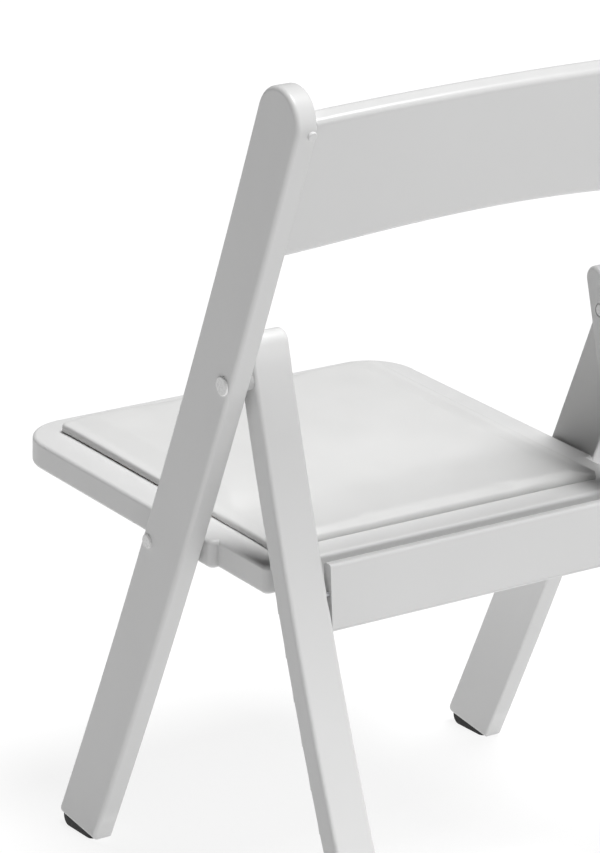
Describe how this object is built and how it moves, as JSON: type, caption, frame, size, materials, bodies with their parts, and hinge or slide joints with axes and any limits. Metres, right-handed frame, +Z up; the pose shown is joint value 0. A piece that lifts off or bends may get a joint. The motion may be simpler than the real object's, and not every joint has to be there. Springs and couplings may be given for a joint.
{
  "type": "folding chair",
  "caption": "White moulded-resin folding chair with bowed posts, a dished backrest and a padded seat that tips up to fold.",
  "frame": {"origin": "on the floor under the middle of the chair's box, chair open", "axes": "+Z up, the sitter faces -Y, +X is the sitter's left"},
  "size_m": [0.453, 0.5409, 0.74],
  "materials": {
    "frame_resin": "satin, smooth moulded, off-white",
    "pad_vinyl": "soft satin vinyl, off-white",
    "foot_rubber": "matte black",
    "rivet_enamel": "satin enamel, off-white",
    "cap_resin": "satin, off-white",
    "bearing_plastic": "smooth, light grey",
    "plain_steel": "zinc plated",
    "board_wood": "unfinished plywood"
  },
  "bodies": {
    "front_frame": {"left_post": "frame_resin", "right_post": "frame_resin", "backrest": "frame_resin", "backrest_pegs": "cap_resin", "left_front_foot": "foot_rubber", "right_front_foot": "foot_rubber", "left_upper_rivet": "rivet_enamel", "right_upper_rivet": "rivet_enamel", "left_spacer": "bearing_plastic", "right_spacer": "bearing_plastic", "left_seat_rivet": "rivet_enamel", "right_seat_rivet": "rivet_enamel", "seat_washers": "bearing_plastic"},
    "rear_frame": {"left_rear_leg": "frame_resin", "right_rear_leg": "frame_resin", "rear_crossbar": "frame_resin", "crossbar_dowels": "plain_steel", "left_rear_foot": "foot_rubber", "right_rear_foot": "foot_rubber", "leg_plugs": "cap_resin", "leg_bushes": "bearing_plastic"},
    "seat": {"seat_frame": "frame_resin", "pad_board": "board_wood", "seat_pad": "pad_vinyl", "pad_screws": "plain_steel", "left_guide_tab": "plain_steel", "right_guide_tab": "plain_steel", "guide_pins": "plain_steel", "seat_bushes": "bearing_plastic"}
  },
  "joints": [
    {"name": "rear_fold", "type": "hinge", "parent": "front_frame", "child": "rear_frame", "pos_m": [0, 0.10562, 0.477], "axis": [-1, 0, 0], "range_deg": [0, 39.5]},
    {"name": "seat_fold", "type": "hinge", "parent": "front_frame", "child": "seat", "pos_m": [0, -0.01128, 0.3105], "axis": [-1, 0, 0], "range_deg": [0, 108]}
  ],
  "couplings": [
    {"joint": "seat_fold", "follows": "rear_fold", "ratio": 2.7342}
  ]
}
